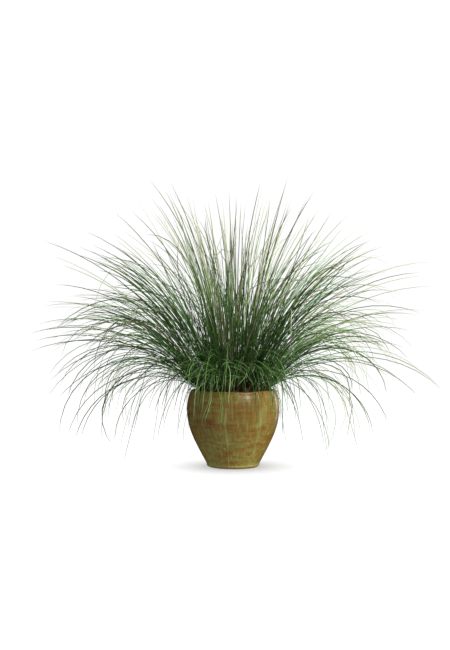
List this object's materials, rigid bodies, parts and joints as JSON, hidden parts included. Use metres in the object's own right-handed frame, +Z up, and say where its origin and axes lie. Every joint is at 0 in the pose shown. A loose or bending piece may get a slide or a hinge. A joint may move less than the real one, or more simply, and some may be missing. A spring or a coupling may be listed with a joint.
{
  "type": "potted ornamental grass",
  "caption": "Fine-bladed arching grass clump growing from a root crown in soil, in a round glazed pot with soft upright lobes; stands on its foot as a patio or room plant.",
  "frame": {"origin": "centre of the pot's foot, on the surface that it stands on", "axes": "+Z up along the pot's axis; -Y is the side that faces the viewer in the picture, +X to the viewer's right"},
  "size_m": [1.0962, 1.0539, 0.7751],
  "materials": {
    "pot_glaze": "glossy mottled amber, olive and rust glaze",
    "potting_soil": "dark crumbly potting mix, matt",
    "stem_bases": "dry fibrous stem bases, matt",
    "grass_blade": "satin grey-green leaf blades"
  },
  "bodies": {
    "root": {"pot": "pot_glaze", "soil": "potting_soil", "crown": "stem_bases", "leaf_tuft_01": "grass_blade", "leaf_tuft_02": "grass_blade", "leaf_tuft_03": "grass_blade", "leaf_tuft_04": "grass_blade", "leaf_tuft_05": "grass_blade", "leaf_tuft_06": "grass_blade", "leaf_tuft_07": "grass_blade", "leaf_tuft_08": "grass_blade", "leaf_tuft_09": "grass_blade", "leaf_tuft_10": "grass_blade", "leaf_tuft_11": "grass_blade", "leaf_tuft_12": "grass_blade", "leaf_tuft_13": "grass_blade", "leaf_tuft_14": "grass_blade", "leaf_tuft_15": "grass_blade", "leaf_tuft_16": "grass_blade", "leaf_tuft_17": "grass_blade", "leaf_tuft_18": "grass_blade", "leaf_tuft_19": "grass_blade", "leaf_tuft_20": "grass_blade", "leaf_tuft_21": "grass_blade", "leaf_tuft_22": "grass_blade", "leaf_tuft_23": "grass_blade", "leaf_tuft_24": "grass_blade", "leaf_tuft_25": "grass_blade", "leaf_tuft_26": "grass_blade", "leaf_tuft_27": "grass_blade", "leaf_tuft_28": "grass_blade", "leaf_tuft_29": "grass_blade", "leaf_tuft_30": "grass_blade", "leaf_tuft_31": "grass_blade", "leaf_tuft_32": "grass_blade", "leaf_tuft_33": "grass_blade", "leaf_tuft_34": "grass_blade", "leaf_tuft_35": "grass_blade", "leaf_tuft_36": "grass_blade", "leaf_tuft_37": "grass_blade", "leaf_tuft_38": "grass_blade", "leaf_tuft_39": "grass_blade", "leaf_tuft_40": "grass_blade", "leaf_tuft_41": "grass_blade", "leaf_tuft_42": "grass_blade", "leaf_tuft_43": "grass_blade", "leaf_tuft_44": "grass_blade", "leaf_tuft_45": "grass_blade", "leaf_tuft_46": "grass_blade", "leaf_tuft_47": "grass_blade", "leaf_tuft_48": "grass_blade", "leaf_tuft_49": "grass_blade", "leaf_tuft_50": "grass_blade", "leaf_tuft_51": "grass_blade", "leaf_tuft_52": "grass_blade", "leaf_tuft_53": "grass_blade", "leaf_tuft_54": "grass_blade", "leaf_tuft_55": "grass_blade", "leaf_tuft_56": "grass_blade", "leaf_tuft_57": "grass_blade"}
  },
  "joints": []
}
